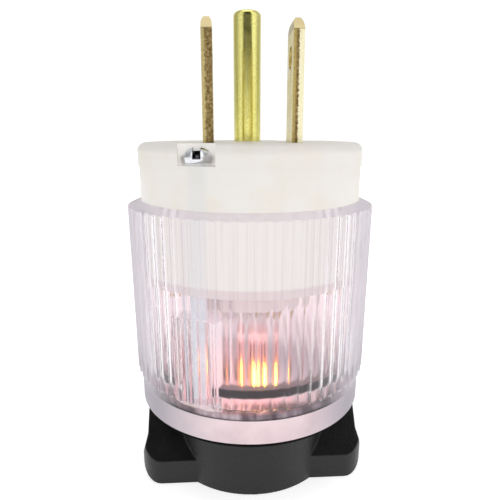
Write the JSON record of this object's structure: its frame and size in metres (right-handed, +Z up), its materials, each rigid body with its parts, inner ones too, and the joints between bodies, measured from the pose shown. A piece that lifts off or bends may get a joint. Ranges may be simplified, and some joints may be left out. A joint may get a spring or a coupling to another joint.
{
  "type": "lighted plug",
  "caption": "Straight-blade grounding power plug with a white face, a clear fluted housing lit by an indicator lamp and a black cord clamp.",
  "frame": {"origin": "centre of the flat clamp bottom, on the plug axis", "axes": "+Z up the plug axis to the prongs, -Y towards the front with the visible screw, +X to the line blade"},
  "size_m": [0.0383, 0.0382, 0.0735],
  "materials": {
    "white_cover": "smooth moulded nylon",
    "white_carrier": "smooth moulded nylon",
    "brass_blade": "sheared strip with rough edges",
    "brass_pin": "bright turned brass",
    "brass_screw": "bright brass",
    "plated_screw": "bright zinc plate",
    "green_screw": "green dyed zinc plate",
    "brass_plate": "stamped brass",
    "clear_shell": "clear moulded plastic with a faint lilac tint",
    "black_clamp": "fine-textured black nylon",
    "black_rubber": "plain black rubber",
    "fibre_disc": "pale insulating fibre",
    "lamp_glass": "thin clear glass",
    "glowing_electrode": "nickel wire, glowing red in use",
    "resistor_body": "coated resistor with bare leads"
  },
  "bodies": {
    "root": {"face_cover": "white_cover", "terminal_carrier": "white_carrier", "line_blade": "brass_blade", "neutral_blade": "brass_blade", "ground_pin": "brass_pin", "line_terminal_screw": "brass_screw", "neutral_terminal_screw": "plated_screw", "ground_terminal_screw": "green_screw", "line_pressure_plate": "brass_plate", "neutral_pressure_plate": "brass_plate", "ground_pressure_plate": "brass_plate", "assembly_screws": "plated_screw", "housing_shell": "clear_shell", "seal_strips": "black_rubber", "insulating_disc": "fibre_disc", "clamp_base": "black_clamp", "clamp_jaw": "black_clamp", "clamp_screws": "plated_screw", "lamp_glass": "lamp_glass", "line_electrode": "glowing_electrode", "neutral_electrode": "glowing_electrode", "lamp_resistor": "resistor_body"}
  },
  "joints": []
}
